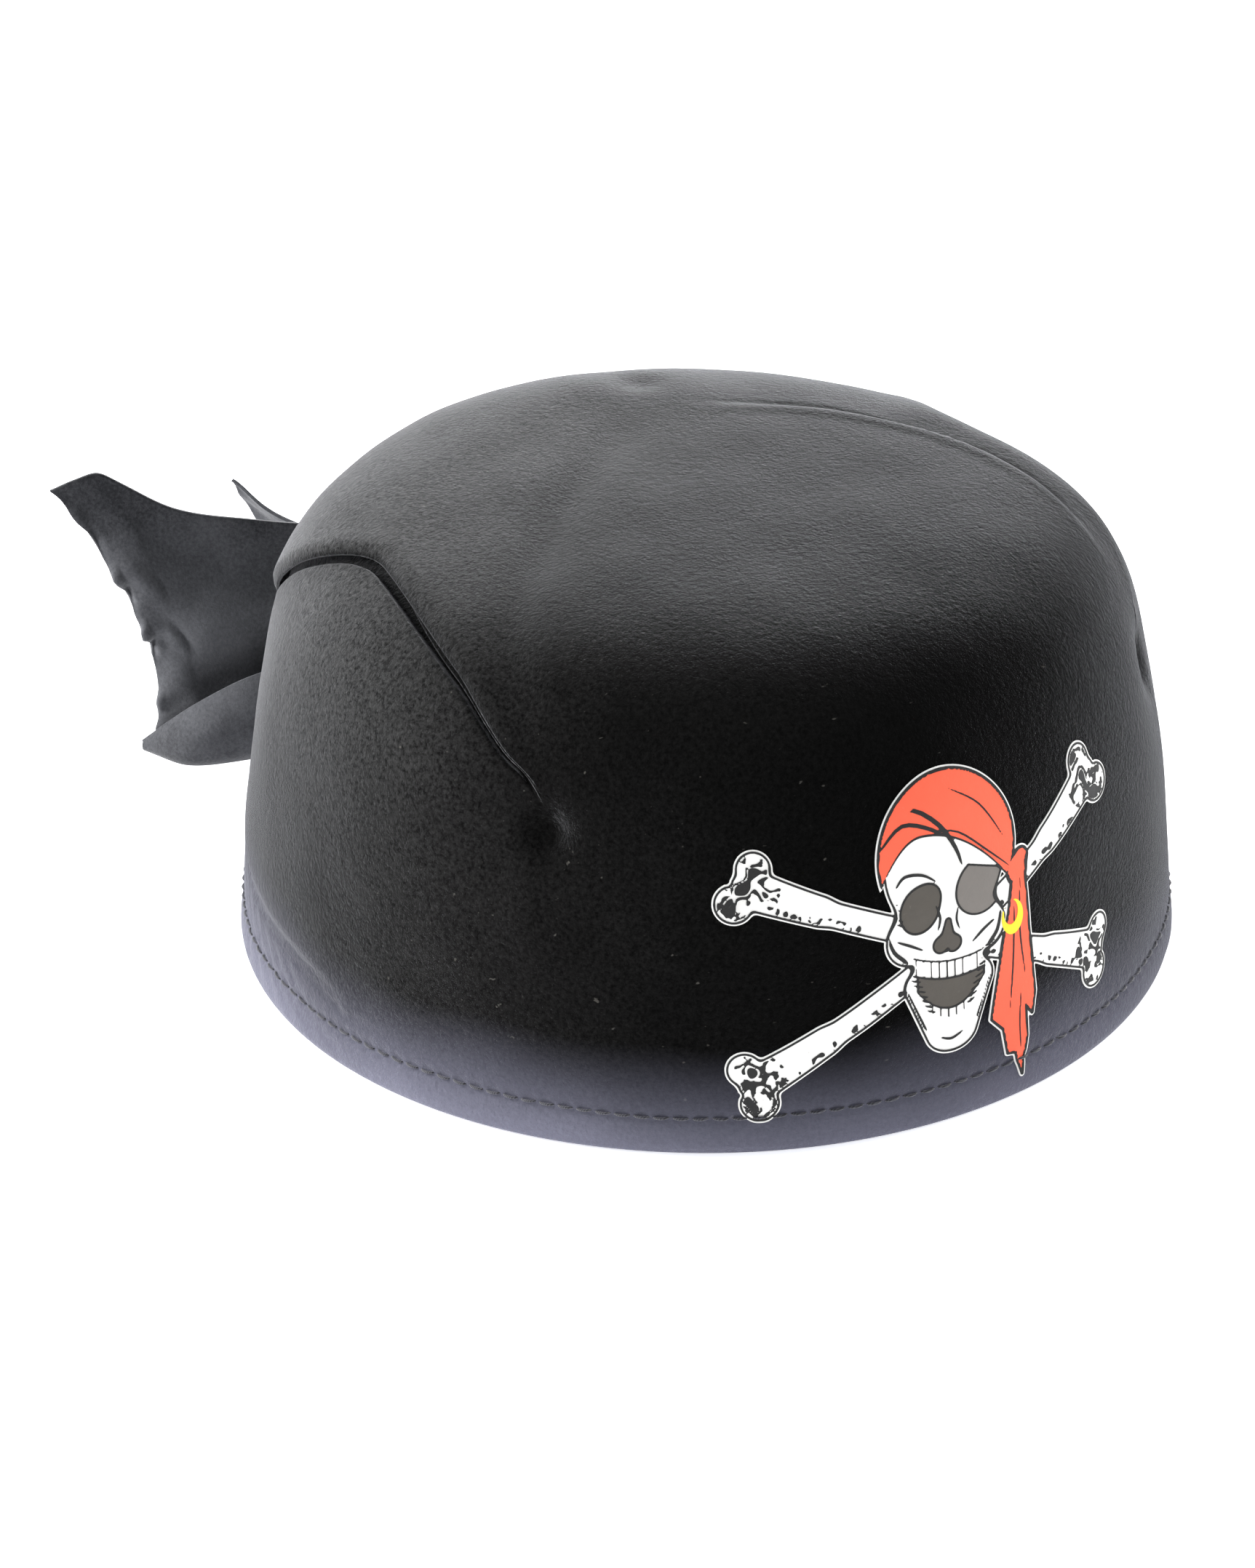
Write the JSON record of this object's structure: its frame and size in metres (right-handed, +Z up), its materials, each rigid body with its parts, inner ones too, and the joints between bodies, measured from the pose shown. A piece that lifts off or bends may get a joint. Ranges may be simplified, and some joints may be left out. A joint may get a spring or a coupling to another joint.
{
  "type": "bandana cap",
  "caption": "Moulded felt costume cap shaped like a tied bandana, with pleated sides, a printed front emblem and two hinged cloth tails at the back.",
  "frame": {"origin": "centre of the rim's resting plane", "axes": "+X to the front, where the emblem is; +Y to the wearer's left; +Z up, from the rim to the crown"},
  "size_m": [0.2595, 0.1964, 0.0972],
  "materials": {
    "felt": "brushed black felt with a fine nap",
    "felt_hem": "brushed black felt, folded",
    "thread": "matt polyester thread",
    "stiffener": "needled grey stiffening felt",
    "lining": "plain woven black lining",
    "sweatband": "twill tape",
    "label_tape": "blank satin tape",
    "tail_cloth": "thin slate-grey brushed cloth with a raw edge",
    "white_print": "matt heat-transfer film",
    "red_print": "matt screen print",
    "grey_print": "matt screen print",
    "yellow_print": "matt screen print"
  },
  "bodies": {
    "cap": {"felt_cover": "felt", "turned_hem": "felt_hem", "hem_stitches": "thread", "stiffener_shell": "stiffener", "crown_lining": "lining", "sweatband": "sweatband", "sweatband_stitches": "thread", "size_label": "label_tape", "knot": "tail_cloth", "knot_tacks": "thread", "emblem_film": "white_print", "emblem_red_print": "red_print", "emblem_grey_print": "grey_print", "emblem_yellow_print": "yellow_print"},
    "right_tail_body": {"right_tail": "tail_cloth"},
    "left_tail_body": {"left_tail": "tail_cloth"}
  },
  "joints": [
    {"name": "right_tail_swing", "type": "hinge", "parent": "cap", "child": "right_tail_body", "pos_m": [-0.105, -0.0106, 0.045], "axis": [0, 0, 1], "range_deg": [-20, 28]},
    {"name": "left_tail_swing", "type": "hinge", "parent": "cap", "child": "left_tail_body", "pos_m": [-0.1085, 0.0095, 0.045], "axis": [0, 0, 1], "range_deg": [-75, 10]}
  ]
}
